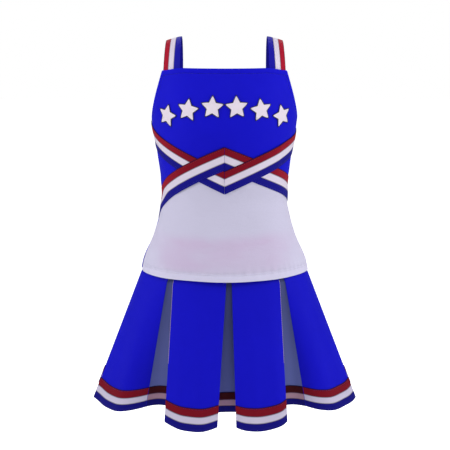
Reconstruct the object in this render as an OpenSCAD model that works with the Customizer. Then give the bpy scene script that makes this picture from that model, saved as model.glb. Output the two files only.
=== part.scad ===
// Two-piece cheer uniform: a sleeveless top with ribbon straps, and a box-pleated skirt.
// Origin: centre of the waist opening, level with the middle of the skirt's waistband.
// +Z is up, -Y is the front, +X is the wearer's left. Lengths are in millimetres.
// An angle f is measured round the body from centre front, growing towards +X:
// 0 is the front, 90 the wearer's left side, 180 the back and -90 the right side.

/* [Top: overall] */
// Height of the front neckline above the waist
neck_z = 337; // [334:1:340]
// Height of the back neckline above the waist
back_neck_z = 312; // [309:1:315]
// Height of the underarm, where the armholes end at the side seams
underarm_z = 232; // [229:1:235]
// Height of the top's hem, which hangs below the waist
top_hem_z = -78; // [-80:1:-76]
// Angle from centre front or centre back to the outer edge of each strap
strap_edge_f = 54; // [53:0.5:55]

/* [Top: ribbon trim] */
// Width of the ribbon that crosses the front
ribbon_w = 43; // [40:1:45]
// Height of the lower ribbon's middle at centre front
vee_z = 116.5; // [115:0.5:118]
// Height of the upper ribbon's middle at centre front
peak_z = 165; // [163:0.5:167]
// Width of a strap over the shoulder
strap_w = 31; // [30:1:32]
// Height of a strap's inner edge over the shoulder
strap_crown_z = 394; // [390:1:398]
// Outer radius of a chest star
star_r = 24; // [22:0.5:24]

/* [Skirt: overall] */
// Half width of the waistband
waist_half_w = 133; // [131:0.5:134]
// Half depth of the waistband
waist_half_d = 93; // [91:0.5:94]
// Height of the waistband
waistband_h = 30; // [28:1:32]
// Height at which the pleats stop being stitched down and swing free
pleat_z = -88; // [-90:1:-86]
// Height of the hem of the front and back panels
hem_z = -370; // [-374:1:-364]
// How much the half width grows for each millimetre down the stitched heads of the pleats
head_flare_w = 0.55; // [0.54:0.005:0.55]
// How much the half width grows for each millimetre down the free part of the pleats
flare_w = 0.386; // [0.37:0.002:0.39]
// How much the half depth grows for each millimetre down the skirt
flare_d = 0.217; // [0.21:0.001:0.22]
// Width of the ribbon round the skirt's hem
hem_ribbon_w = 46; // [40:1:50]

/* [Zip] */
// Lowest point of the zip at centre back
zip_low_z = 60; // [55:1:80]
// Highest point of the zip at centre back
zip_high_z = 303; // [300:1:304]
// Distance between two teeth on one side
tooth_pitch = 3; // [3:0.5:4]

/* [Hidden] */
royal = "mediumblue";
navy = "midnightblue";
white = "whitesmoke";
crimson = "firebrick";
slate = "slategray";
silver = "silver";

cloth = 1.5;        // thickness of a cloth panel
lining = 0.8;       // thickness of a facing or a sewn-on ribbon
seam = 0.5;         // gap left at a seam between two panels
lift = 0.6;         // gap under a piece that is sewn onto a curved panel

// The top's outline, from the hem up: height, half width, front depth, back depth.
body = [[top_hem_z, 170.5, 118, 118], [-50, 163.5, 114, 112], [0, 142.5, 103, 102.5],
        [46, 130.5, 95, 98.5], [85, 127, 92, 98], [155, 134.5, 102, 98],
        [underarm_z, 146, 112, 98], [neck_z + 3, 150, 98, 98]];

// The skirt's panels, by name: top angles, hem angles, inward roll of each edge at the hem,
// and hem height above hem_z. The first four go from centre front round to centre back on +X.
front_left = [[5.6, 39.1], [5.4, 27], [8, 10], 0];
front_right = [[-35.9, 0.2], [-25.6, -3.5], [10, 8], 0];
side_left = [[44.6, 87], [41.8, 80], [34, -4], 17];
side_right = [[-87, -41.7], [-80, -40], [-4, 34], 17];
rear_left = [[140.9, 176.6], [153, 176.5], [10, 8], 0];
function mirror_x(p) = [[-p[0][1], -p[0][0]], [-p[1][1], -p[1][0]], [p[2][1], p[2][0]], p[3]];
function to_back(p) =
    [[180 - p[0][1], 180 - p[0][0]], [180 - p[1][1], 180 - p[1][0]], [p[2][1], p[2][0]], p[3]];
panels = [["front_left", each front_left], ["side_front_left", each side_left],
          ["side_back_left", each to_back(side_left)], ["rear_left", each rear_left],
          ["front_right", each front_right], ["side_front_right", each side_right],
          ["side_back_right", each mirror_x(to_back(side_left))],
          ["rear_right", each mirror_x(rear_left)]];

// The cloth behind each gap, by name. One edge is sewn to a panel, and the other lies loose behind
// the next panel: angles of the sewn and the loose edge, at the top and at the hem; their depths
// behind the skirt's outline at the top; the depths of the sewn edge, the gap and the loose edge
// at the hem; and the hem's height above hem_z.
underlays = [["centre_front", [-6, 27], [-10, 19], [3.5, 10], [30, 64, 60], 13],
             ["front_left", [44.6, 21], [41.8, 9], [0.2, 5], [34, 54, 30], 23],
             ["front_right", [-41.7, -21], [-40, -14], [0.2, 5], [34, 54, 30], 23],
             ["side_left", [93, 60], [100, 49], [0.2, 5], [-4, 48, 46], 19],
             ["side_right", [-93, -60], [-100, -49], [0.2, 5], [-4, 48, 46], 19],
             ["rear_left", [135.4, 159], [138.2, 171], [0.2, 5], [34, 54, 30], 23],
             ["rear_right", [-135.4, -159], [-138.2, -165], [0.2, 5], [34, 54, 30], 23],
             ["centre_back", [190, 153], [190, 161], [3.5, 10], [30, 64, 60], 13]];

// ---- Curves --------------------------------------------------------------------------------

function lerp(a, b, t) = a + (b - a) * t;
function ease(t) = let (u = min(1, max(0, t))) u * u * (3 - 2 * u);
function swoop(t) = 1 - (1 - min(1, t)) ^ 2;

// Smooth value of column k of the body table at height z.
function span(z, i = 0) = (i >= len(body) - 2 || z < body[i + 1][0]) ? i : span(z, i + 1);
function slope(i, k) =
    let (p = body[max(i - 1, 0)], q = body[min(i + 1, len(body) - 1)]) (q[k] - p[k]) / (q[0] - p[0]);
function fitted(z, k) =
    let (i = span(z), p = body[i], q = body[i + 1], h = q[0] - p[0], u = (z - p[0]) / h)
    (1 + 2 * u) * (1 - u) ^ 2 * p[k] + u * (1 - u) ^ 2 * h * slope(i, k)
    + u ^ 2 * (3 - 2 * u) * q[k] + u ^ 2 * (u - 1) * h * slope(i + 1, k);

// Point at angle f on an oval of half width a and half depth b, moved out by off.
function oval(f, a, b, off) =
    let (n = [sin(f) / a, -cos(f) / b]) [a * sin(f), -b * cos(f)] + n / norm(n) * off;
function torso(f, z, off) =
    let (p = oval(f, fitted(z, 1), fitted(z, cos(f) > 0 ? 2 : 3), off)) [p.x, p.y, z];
function skirt(f, z, off) =
    let (drop = max(0, -waistband_h / 2 - z), head = min(drop, -waistband_h / 2 - pleat_z),
         p = oval(f, waist_half_w + head_flare_w * head + flare_w * (drop - head),
                  waist_half_d + flare_d * drop, off))
    [p.x, p.y, z];

// Upper edge of the top's panels: neckline, then strap corner, then armhole.
function upper_edge(f) =
    let (from_middle = cos(f) > 0 ? abs(f) : 180 - abs(f),
         middle = cos(f) > 0 ? neck_z : back_neck_z,
         corner = middle - 6,
         side = max(0, 90 - from_middle) / (90 - strap_edge_f))
    from_middle <= strap_edge_f
        ? lerp(middle, corner, ease((from_middle - 32) / (strap_edge_f - 32)))
        : lerp(underarm_z, corner, side ^ 1.67);

// Distance round the body from centre front, for the ribbons' slopes.
function round_body(f) = 118 * abs(f) * PI / 180 + 7.6 * sin(2 * abs(f));
// Middle of the ribbon that dips to a vee at centre front, and of the one that rises to a peak.
// Each arm has its own bend, and ends where the real trim meets its side seam.
function vee(f) = let (d = round_body(f)) vee_z + 0.466 * d - (f > 0 ? 0.00043 : 0) * d ^ 2;
function peak(f) = let (d = round_body(f), past = max(0, d - 120))
    peak_z - 0.444 * d + (f > 0 ? 0.0002 : -0.00054) * d ^ 2 - (f > 0 ? 0.001 : 0.003) * past ^ 2;
// The blue and the white cloth meet under whichever ribbon is lower.
function colour_seam(f) = min(vee(f), peak(f));
ribbon_half_h = ribbon_w / 2 * sqrt(1 + 0.455 ^ 2);

// The two halves of the back part round the zip, and meet in a seam below it.
zip_gap_f = 2.5;    // half the gap that the zip fills at centre back
side_gap_f = 0.1;   // half a seam, as an angle at a side or at centre back
seam_top_z = zip_low_z - 24;
seam_open_z = zip_low_z - 8;
function beside_zip(f, z) =
    let (edge = lerp(side_gap_f, zip_gap_f, ease((z - seam_top_z) / (seam_open_z - seam_top_z))),
         share = (abs(f) - 180 + strap_edge_f) / (strap_edge_f - zip_gap_f))
    share <= 0 ? f : sign(f) * (180 - strap_edge_f + share * (strap_edge_f - edge));

// ---- Sheets --------------------------------------------------------------------------------

function quad(a, b, c, d) = [[a, b, c], [a, c, d]];
function flat(lists) = [for (list = lists) each list];
function even(a, b, n) = [for (i = [0 : n]) lerp(a, b, i / n)];

// A closed sheet of cloth between two grids of points. Columns run towards growing f, and rows
// run upwards. With ring set, the last column joins the first.
module sheet(outer, inner, ring = false) {
    ni = len(outer);
    nj = len(outer[0]);
    n = ni * nj;
    function id(i, j, side) = side * n + (i % ni) * nj + j;
    steps = ring ? ni : ni - 1;
    faces = flat([
        for (i = [0 : steps - 1], j = [0 : nj - 2])
            concat(quad(id(i, j, 0), id(i, j + 1, 0), id(i + 1, j + 1, 0), id(i + 1, j, 0)),
                   quad(id(i, j, 1), id(i + 1, j, 1), id(i + 1, j + 1, 1), id(i, j + 1, 1))),
        for (i = [0 : steps - 1])
            concat(quad(id(i, 0, 0), id(i + 1, 0, 0), id(i + 1, 0, 1), id(i, 0, 1)),
                   quad(id(i + 1, nj - 1, 0), id(i, nj - 1, 0), id(i, nj - 1, 1), id(i + 1, nj - 1, 1))),
        if (!ring) for (j = [0 : nj - 2])
            concat(quad(id(0, j + 1, 0), id(0, j, 0), id(0, j, 1), id(0, j + 1, 1)),
                   quad(id(ni - 1, j, 0), id(ni - 1, j + 1, 0), id(ni - 1, j + 1, 1), id(ni - 1, j, 1)))]);
    polyhedron(points = concat(flat(outer), flat(inner)), faces = faces);
}

// Cloth that follows the top's surface at the angles in cols, between heights lo(f) and hi(f).
function torso_grid(cols, lo, hi, rows, off) =
    [for (f = cols) [for (j = [0 : rows]) let (z = lerp(lo(f), hi(f), j / rows))
        torso(beside_zip(f, z), z, off)]];
module torso_sheet(cols, lo, hi, rows, off, thick)
    sheet(torso_grid(cols, lo, hi, rows, off), torso_grid(cols, lo, hi, rows, off - thick));

front_cols = concat(even(-90 + side_gap_f, -strap_edge_f, 7),
                    [for (f = even(-strap_edge_f, strap_edge_f, 22)) if (abs(f) < strap_edge_f) f],
                    even(strap_edge_f, 90 - side_gap_f, 7));
back_cols = concat(even(90 + side_gap_f, 180 - strap_edge_f, 7),
                   [for (f = even(180 - strap_edge_f, 180 - zip_gap_f, 10)) if (f > 180 - strap_edge_f) f]);
// The same columns on the wearer's right, in growing order.
function to_right(cols) = [for (i = [len(cols) - 1 : -1 : 0]) -cols[i]];

// ---- Top -----------------------------------------------------------------------------------

module bodice_front()
    color(royal) torso_sheet(front_cols, function (f) colour_seam(f) + seam / 2, upper_edge_fn, 12, 0, cloth);
module midriff_front()
    color(white) torso_sheet(front_cols, function (f) top_hem_z, function (f) colour_seam(f) - seam / 2,
                             12, 0, cloth);
upper_edge_fn = function (f) upper_edge(f);

module back_panel(cols)
    color(royal) torso_sheet(cols, function (f) top_hem_z, upper_edge_fn, 24, 0, cloth);

facing_off = -cloth - lift;             // where the innermost layers start
under_strap_off = facing_off - lining - 2 * lift;
module neck_facing(cols)
    color(royal) torso_sheet(cols, function (f) upper_edge(f) - 14, function (f) upper_edge(f) - 1,
                             2, under_strap_off, lining);
module armhole_facing(cols)
    color(royal) torso_sheet(cols, function (f) upper_edge(f) - 11, function (f) upper_edge(f) - 1,
                             1, facing_off, lining);

// Sewn-on ribbon whose middle is at height line(f). Level 1 crosses over level 0.
module ribbon(cols, line, level)
    color(crimson) torso_sheet(cols, function (f) line(f) - ribbon_half_h,
                               function (f) line(f) + ribbon_half_h, 3,
                               lift + lining + level * (lining + lift), lining);
ribbon_left = even(0.1, 90 - side_gap_f, 22);
ribbon_right = to_right(ribbon_left);

// Strap: rises from behind the front neckline, over the shoulder and down behind the back one.
// v goes from its inner edge to its outer edge, and u from its front end to its back end.
strap_inner_f = strap_edge_f - 18.7;
crown_inner_x = 84;
crown_outer_x = crown_inner_x + strap_w;
crown_drop = 8;     // how much lower the strap's outer edge is over the shoulder
tuck = 11;          // how far a strap's end goes down behind the neckline
strap_t = 1.2;
function strap_end(at, z, depth) = torso(at, z, facing_off - depth);
function strap_point(u, v, depth) =
    let (f = lerp(strap_inner_f, strap_edge_f - 0.8, v), at = u > 90 ? 180 - f : f,
         z = upper_edge(at) + 1, base = strap_end(at, z, depth), rise = sin(u),
         crown = [lerp(crown_inner_x, crown_outer_x, v), strap_crown_z - crown_drop * v - depth])
    u < 0 || u > 180 ? strap_end(at, z - 1 - tuck, depth)
    : [lerp(base.x, crown.x, rise), base.y * abs(cos(u)), lerp(z, crown.y, rise)];
strap_rows = concat([-1], even(0, 180, 22), [181]);
function strap_grid(depth, side) =
    [for (u = strap_rows)
        [for (v = side > 0 ? even(0, 1, 3) : even(1, 0, 3))
            let (p = strap_point(u, v, depth)) [side * p.x, p.y, p.z]]];
// Rows run front to back here, which turns the sheet over, so the two grids swap.
module strap(side) color(crimson) sheet(strap_grid(strap_t, side), strap_grid(0, side));

// Five-pointed star sewn on the chest at angle f.
star_f = [-49, -28.3, -9, 9, 28.3, 49];
function star_point(f, r, turn, off) =
    let (tilt = -0.3 * f, across = r * sin(turn + tilt), up = r * cos(turn + tilt),
         z0 = 265 - 20 * (f / 49) ^ 2,
         per_degree = norm([147 * cos(f), 110 * sin(f)]) * PI / 180)
    torso(f + across / per_degree, z0 + up, off);
module star(f) {
    outline = [for (k = [0 : 9]) [k % 2 == 0 ? star_r : star_r * 0.5, 36 * k]];
    function ring(off) = [for (p = outline) star_point(f, p[0], p[1], off)];
    function mid(off) = star_point(f, 0, 0, off);
    base = lift + 0.6;
    points = concat(ring(base + lining), [mid(base + lining)], ring(base), [mid(base)]);
    faces = flat([for (k = [0 : 9]) let (m = (k + 1) % 10)
        [[10, m, k], [21, 11 + k, 11 + m], [k, m, 11 + m], [k, 11 + m, 11 + k]]]);
    polyhedron(points = points, faces = [for (t = faces) [t[2], t[1], t[0]]]);
}
module chest_stars() color(white) for (f = star_f) star(f);

// ---- Zip at centre back --------------------------------------------------------------------

back_y = 98;                    // the back's outer surface at centre back, flat along the zip
tape_y = back_y - 3.4;          // the tapes' inner face
tape_t = 0.6;
tooth_y = tape_y + tape_t + 0.1;
tooth_t = 2.2;
tooth_h = 1.3;
tape_in = 1.6;                  // the tapes' edges, from the middle
tape_out = 12.5;
slider_half_w = 5;
slider_h = 12;
channel_half_w = 3.2;
slider_y = tooth_y + tooth_t + 0.3;     // underside of the slider's plate
plate_t = 1.2;
slider_top_z = zip_high_z - 4;
pin_z = slider_top_z - 4;
pin_y = slider_y + plate_t + 2.1;
pin_r = 0.8;
pull_bore_r = 0.88;
pull_t = 1.4;
pull_len = 26;

module box(from, to) translate(from) cube(to - from);

module zip_tape(side) color(royal)
    box([side > 0 ? tape_in : -tape_out, tape_y, zip_low_z - 4],
        [side > 0 ? tape_out : -tape_in, tape_y + tape_t, zip_high_z]);

module zip_teeth(side) color(white)
    for (z = [zip_low_z + 2 + (side > 0 ? 0 : tooth_pitch / 2) : tooth_pitch : zip_high_z - 3])
        box([side > 0 ? -0.9 : -2.6, tooth_y, z], [side > 0 ? 2.6 : 0.9, tooth_y + tooth_t, z + tooth_h]);

module zip_stops() color(silver) {
    box([-2.8, tooth_y, zip_low_z - 3], [2.8, tooth_y + tooth_t, zip_low_z + 1]);
    for (x = [-2.8, 0.6]) box([x, tooth_y, zip_high_z - 1.4], [x + 2.2, tooth_y + tooth_t, zip_high_z]);
}

// The slider rides over the teeth like a channel, with two ears and a pin for the pull.
module zip_slider() color(silver) {
    difference() {
        box([-slider_half_w, tooth_y + 0.1, slider_top_z - slider_h],
            [slider_half_w, slider_y + plate_t, slider_top_z]);
        box([-channel_half_w, tooth_y - 1, slider_top_z - slider_h - 1],
            [channel_half_w, slider_y, slider_top_z + 1]);
    }
    for (x = [-3.9, 2.7]) box([x, slider_y + plate_t, pin_z - 1.5], [x + 1.2, pin_y + 1.3, pin_z + 1.5]);
    translate([-3.3, pin_y, pin_z]) rotate([0, 90, 0]) cylinder(r = pin_r, h = 6.6, $fn = 32);
}

// The pull hangs from the pin and turns round it.
module zip_pull() color(silver) difference() {
    union() {
        translate([-2.4, pin_y, pin_z]) rotate([0, 90, 0]) cylinder(r = 1.55, h = 4.8, $fn = 32);
        box([-2.4, pin_y - pull_t / 2, pin_z - 8], [2.4, pin_y + pull_t / 2, pin_z]);
        translate([0, pin_y + pull_t / 2, pin_z - 7]) rotate([90, 0, 0]) linear_extrude(pull_t)
            polygon([[-2.4, 1], [2.4, 1], [4.2, -3], [4.2, 10 - pull_len], [3, 8 - pull_len],
                     [-3, 8 - pull_len], [-4.2, 10 - pull_len], [-4.2, -3]]);
    }
    translate([-5, pin_y, pin_z]) rotate([0, 90, 0]) cylinder(r = pull_bore_r, h = 10, $fn = 32);
    translate([0, pin_y + 3, pin_z + 3 - pull_len + 4]) rotate([90, 0, 0]) cylinder(r = 1.6, h = 6, $fn = 32);
}

// Wire hook and eye that close the back neckline above the zip.
wire_r = 0.45;
hook_z = back_neck_z - 4;
hook_y = back_y - cloth - 0.7;
hook_bend_r = 1;
eye_bend_r = 1.6;
module wire_arc(radius, from, to) rotate_extrude(angle = to - from, start = from, $fn = 48)
    translate([radius, 0]) circle(r = wire_r, $fn = 16);
module wire_bar(from, to) translate(from) rotate([0, 90, 0])
    cylinder(r = wire_r, h = to - from.x, $fn = 16);
// Local x is across the opening, y is up and z is into the garment.
module wire_at() translate([0, hook_y, hook_z]) rotate([90, 0, 0]) children();
module neck_hook() color(silver) wire_at() {
    for (y = [-1.3, 1.3]) translate([-4.8, y, 0]) wire_arc(1.1, 0, 360);
    wire_bar([-4.8, 0, 0], 1.6);
    translate([1.6, 0, hook_bend_r]) rotate([90, 0, 0]) wire_arc(hook_bend_r, -90, 90);
    wire_bar([0.4, 0, 2 * hook_bend_r], 1.6);
}
module neck_eye() color(silver) wire_at() translate([0, 0, hook_bend_r]) {
    translate([2.6, 0, 0]) wire_arc(eye_bend_r, 90, 270);
    for (y = [-eye_bend_r, eye_bend_r]) {
        wire_bar([2.6, y, 0], 3.9);
        translate([4.8, y, 0]) wire_arc(1.1, 0, 360);
    }
}

// ---- Skirt ---------------------------------------------------------------------------------

ring_cols = [for (i = [0 : 71]) 5 * i];
function skirt_path(f, path) = [for (p = path) skirt(f, p[1], p[0])];
band_top = waistband_h / 2;
band_t = 5.2;       // whole thickness of the waistband, with the elastic in it
fold_t = 1;         // thickness of the casing's cloth

// Cloth folded over the elastic, open at the bottom where it is sewn to the pleats.
module waistband_casing() color(royal)
    sheet([for (f = ring_cols) skirt_path(f, [[0, -band_top], [0, band_top], [-band_t, band_top],
                                              [-band_t, -band_top]])],
          [for (f = ring_cols) skirt_path(f, [[-fold_t, -band_top], [-fold_t, band_top - fold_t],
                                              [fold_t - band_t, band_top - fold_t],
                                              [fold_t - band_t, -band_top]])], ring = true);
module waistband_elastic() color(white)
    sheet([for (f = ring_cols) skirt_path(f, [[-fold_t - 0.7, 3 - band_top], [-fold_t - 0.7, band_top - 3]])],
          [for (f = ring_cols) skirt_path(f, [[fold_t - band_t + 0.7, 3 - band_top],
                                              [fold_t - band_t + 0.7, band_top - 3]])], ring = true);

// The upper part of the pleats, stitched down flat below the waistband.
function head_grid(cols, off) =
    [for (f = cols) [for (z = even(pleat_z + 0.5, -band_top - 0.5, 4)) skirt(f, z, off)]];
module pleat_head(cols) color(royal) sheet(head_grid(cols, 0), head_grid(cols, -2.4));

// A hanging sheet is ruled: straight from its upper edge to its hem. top(s) and hem(s) give
// [angle, depth] and hem_height(s) the hem's height, for s from 0 to 1 across the sheet.
panel_top = pleat_z - 0.5;
function hanging_grid(top, hem, hem_height, n, rows, from, to, off) =
    [for (s = even(0, 1, n)) let (a = top(s), b = hem(s), z1 = hem_height(s),
            p = skirt(a[0], panel_top, off - a[1]), q = skirt(b[0], z1, off - b[1]))
        [for (j = [0 : rows]) lerp(q, p, lerp(from, to, j / rows))]];
module hanging_sheet(top, hem, hem_height, n, rows, from, to, off, thick)
    sheet(hanging_grid(top, hem, hem_height, n, rows, from, to, off),
          hanging_grid(top, hem, hem_height, n, rows, from, to, off - thick));

edge_share = 0.4;   // share of a panel's width over which an edge rolls inwards
hem_bow = 8;        // how much higher a panel's hem is at its edges than at its middle
function panel_top_fn(p) = function (s) [lerp(p[1][0], p[1][1], s), 0];
function panel_hem_fn(p) = function (s)
    [lerp(p[2][0], p[2][1], s), p[3][0] * max(0, 1 - s / edge_share) ^ 2
                                + p[3][1] * max(0, 1 - (1 - s) / edge_share) ^ 2];
function panel_hem_height(p) = function (s) hem_z + p[4] + hem_bow * (2 * s - 1) ^ 2;
module panel_piece(p, n, rows, to, off, thick)
    hanging_sheet(panel_top_fn(p), panel_hem_fn(p), panel_hem_height(p), n, rows, 0, to, off, thick);

// An underlay leaves its sewn edge steeply, crosses the gap and ends loose behind the next panel.
function along(pair, s) = lerp(pair[0] + sign(pair[1] - pair[0]) * sewn_gap_f, pair[1], s ^ 1.2);
sewn_gap_f = 0.25;
function underlay_top_fn(u) = function (s)
    [along(u[1], s), lerp(u[3][0], u[3][1], swoop(s / 0.3))];
function underlay_hem_fn(u) = function (s)
    [along(u[2], s), lerp(lerp(u[4][0] + 0.2, u[4][1], swoop(s / 0.4)), u[4][2],
                          ease((s - 0.45) / 0.4))];
function underlay_hem_height(u) = function (s) hem_z + lerp(u[5] + 4, u[5], ease(s / 0.3));
// Sheets need growing angles, so an underlay that runs the other way is made from its free edge.
function turned(u, fn) = u[1][1] > u[1][0] ? fn : function (s) fn(1 - s);
module underlay_piece(u, n, rows, to, off, thick)
    hanging_sheet(turned(u, underlay_top_fn(u)), turned(u, underlay_hem_fn(u)),
                  turned(u, underlay_hem_height(u)), n, rows, 0, to, off, thick);

ribbon_share = hem_ribbon_w / (pleat_z - hem_z);
module panel(p) color(royal) panel_piece(p, 9, 5, 1, 0, cloth);
module underlay(u) color(slate) underlay_piece(u, 14, 5, 1, 0, 1.2);
// The ribbon on a panel. The ribbon on an underlay is part of the same node as its owner's.
function owned_by(name) =
    name == "front_right" ? [underlays[0]]
    : name == "side_front_left" ? [underlays[1]]
    : name == "side_front_right" ? [underlays[2]]
    : name == "side_back_left" ? [underlays[3], underlays[5]]
    : name == "side_back_right" ? [underlays[4], underlays[6]]
    : name == "rear_right" ? [underlays[7]] : [];
module hem_ribbon(p) color(navy) {
    panel_piece(p, 9, 1, ribbon_share, lift + lining, lining);
    for (u = owned_by(p[0])) underlay_piece(u, 14, 1, ribbon_share, lift + lining, lining);
}

// ---- Nodes ---------------------------------------------------------------------------------

bodice_front();
midriff_front();
back_panel(back_cols);  // back_left
back_panel(to_right(back_cols));  // back_right
neck_facing(even(-strap_edge_f + 1, strap_edge_f - 1, 20));  // neck_facing_front
neck_facing(even(181 - strap_edge_f, 174, 8));  // neck_facing_back_left
neck_facing(to_right(even(181 - strap_edge_f, 174, 8)));  // neck_facing_back_right
armhole_facing(even(strap_edge_f + 1, 179 - strap_edge_f, 14));  // armhole_facing_left
armhole_facing(to_right(even(strap_edge_f + 1, 179 - strap_edge_f, 14)));  // armhole_facing_right
strap(1);  // strap_left
strap(-1);  // strap_right
ribbon(ribbon_left, function (f) vee(f), 1);  // ribbon_vee_left
ribbon(ribbon_right, function (f) vee(f), 0);  // ribbon_vee_right
ribbon(ribbon_left, function (f) peak(f), 0);  // ribbon_peak_left
ribbon(ribbon_right, function (f) peak(f), 1);  // ribbon_peak_right
chest_stars();
zip_tape(1);  // zip_tape_left
zip_tape(-1);  // zip_tape_right
zip_teeth(1);  // zip_teeth_left
zip_teeth(-1);  // zip_teeth_right
zip_stops();
zip_slider();
zip_pull();
neck_hook();
neck_eye();
waistband_casing();
waistband_elastic();
pleat_head(even(-89.8, 89.8, 36));  // pleat_head_front
pleat_head(even(90.2, 269.8, 36));  // pleat_head_back
for (p = panels) panel(p);
for (u = underlays) underlay(u);
for (p = panels) hem_ribbon(p);
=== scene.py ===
"""Looks of a two-piece cheer uniform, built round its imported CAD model.

Lengths are in metres unless a name ends in _F, which is an angle round the body in degrees:
0 is the front, 90 the wearer's left side, 180 the back and -90 the right side.
"""

import math

import bpy
import numpy as np
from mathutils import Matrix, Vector


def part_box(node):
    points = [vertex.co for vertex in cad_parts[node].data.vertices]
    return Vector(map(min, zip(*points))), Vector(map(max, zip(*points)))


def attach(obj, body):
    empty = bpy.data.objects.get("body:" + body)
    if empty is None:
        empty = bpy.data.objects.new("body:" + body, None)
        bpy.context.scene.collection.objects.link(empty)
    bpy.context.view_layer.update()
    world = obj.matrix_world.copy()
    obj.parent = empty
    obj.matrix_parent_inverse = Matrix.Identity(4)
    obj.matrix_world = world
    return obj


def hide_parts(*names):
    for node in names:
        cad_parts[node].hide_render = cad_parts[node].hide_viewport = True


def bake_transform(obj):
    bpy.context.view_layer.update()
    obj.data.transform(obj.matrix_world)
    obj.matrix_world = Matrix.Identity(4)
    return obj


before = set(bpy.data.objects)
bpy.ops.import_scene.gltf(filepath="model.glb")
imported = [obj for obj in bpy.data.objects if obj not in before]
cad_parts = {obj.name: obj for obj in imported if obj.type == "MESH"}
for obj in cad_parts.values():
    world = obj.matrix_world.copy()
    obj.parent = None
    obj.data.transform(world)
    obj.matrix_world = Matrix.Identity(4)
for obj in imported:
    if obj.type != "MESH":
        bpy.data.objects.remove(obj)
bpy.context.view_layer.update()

MM = 0.001

# ---- Driving dimensions, from the CAD frame ------------------------------------------------

TOP_HEM_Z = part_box("midriff_front")[0].z
NECK_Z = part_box("bodice_front")[1].z
BACK_NECK_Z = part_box("back_left")[1].z
BAND_TOP_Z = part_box("waistband_casing")[1].z
BAND_LOW_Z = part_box("waistband_casing")[0].z
WAIST_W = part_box("waistband_casing")[1].x
WAIST_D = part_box("waistband_casing")[1].y
PLEAT_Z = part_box("panel_front_left")[1].z
HEM_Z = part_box("panel_front_left")[0].z
ZIP_LOW_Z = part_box("zip_stops")[0].z + 3 * MM
ZIP_HIGH_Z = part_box("zip_stops")[1].z
STRAP_CROWN_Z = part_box("strap_left")[1].z
UNDERARM_Z = 0.232
STRAP_EDGE_F = 54
VEE_Z = 0.1165          # height of the lower ribbon's middle at centre front
PEAK_Z = 0.165          # height of the upper ribbon's middle at centre front
HEAD_FLARE_W = 0.55     # growth of the skirt's half width down the pleats' stitched heads
FLARE_W = 0.386         # growth of its half width down their free part
FLARE_D = 0.217         # growth of its half depth

CLOTH = 1.3 * MM        # thickness of a cloth panel
RIBBON_T = 0.9 * MM     # thickness of a ribbon
RIBBON_W = 43 * MM      # width of the ribbon across the front
HEM_RIBBON_W = 46 * MM  # width of the ribbon round the skirt's hem
SIDE_GAP_F = -0.06      # the front and back lap slightly at the side seams
ZIP_GAP_F = 2.5         # the back panels' distance from centre back, beside the zip

# The top's outline, from the hem up: height, half width, front depth, back depth.
BODY = np.array([
    [TOP_HEM_Z / MM, 170.5, 118, 118], [-50, 163.5, 114, 112], [0, 142.5, 103, 102.5],
    [46, 130.5, 95, 98.5], [85, 127, 92, 98], [155, 134.5, 102, 98],
    [UNDERARM_Z / MM, 146, 112, 98], [NECK_Z / MM + 3, 150, 98, 98],
]) * MM


# ---- Curves --------------------------------------------------------------------------------

def lerp(a, b, t):
    """The value a share t of the way from a to b."""
    return a + (b - a) * t


def ease(t):
    """0 to 1, level at both ends."""
    t = np.clip(t, 0, 1)
    return t * t * (3 - 2 * t)


def swoop(t):
    """Steep at 0 and level at 1."""
    return 1 - (1 - np.clip(t, 0, 1)) ** 2


def bell(x, width):
    """1 at x = 0, falling smoothly to 0 over a few widths."""
    return np.exp(-(x / width) ** 2)


def fitted(z, column):
    """Smooth value of a column of BODY at heights z."""
    z = np.asarray(z, float)
    i = np.clip(np.searchsorted(BODY[:, 0], z, side="right") - 1, 0, len(BODY) - 2)
    knots, values = BODY[:, 0], BODY[:, column]
    row = np.arange(len(BODY))
    low, high = np.maximum(row - 1, 0), np.minimum(row + 1, len(BODY) - 1)
    slopes = (values[high] - values[low]) / (knots[high] - knots[low])
    h = knots[i + 1] - knots[i]
    u = (z - knots[i]) / h
    return ((1 + 2 * u) * (1 - u) ** 2 * values[i] + u * (1 - u) ** 2 * h * slopes[i]
            + u ** 2 * (3 - 2 * u) * values[i + 1] + u ** 2 * (u - 1) * h * slopes[i + 1])


def oval(f, a, b, off):
    """x and y on an oval of half width a and half depth b, moved out by off."""
    s, c = np.sin(np.radians(f)), np.cos(np.radians(f))
    nx, ny = s / a, -c / b
    length = np.hypot(nx, ny)
    return a * s + nx / length * off, -b * c + ny / length * off


def torso(f, z, off=0.0):
    """Points on the top's surface at angles f and heights z."""
    f, z = np.broadcast_arrays(np.asarray(f, float), np.asarray(z, float))
    depth = np.where(np.cos(np.radians(f)) > 0, fitted(z, 2), fitted(z, 3))
    x, y = oval(f, fitted(z, 1), depth, off + drape(f, z))
    return np.stack([x, y, z], -1)


def skirt(f, z, off=0.0):
    """Points on the skirt's outline at angles f and heights z."""
    f, z, off = np.broadcast_arrays(np.asarray(f, float), np.asarray(z, float), off)
    drop = np.maximum(0, BAND_LOW_Z - z)
    head = np.minimum(drop, BAND_LOW_Z - PLEAT_Z)
    half_w = WAIST_W + HEAD_FLARE_W * head + FLARE_W * (drop - head)
    x, y = oval(f, half_w, WAIST_D + FLARE_D * drop, off)
    return np.stack([x, y, z], -1)


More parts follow.
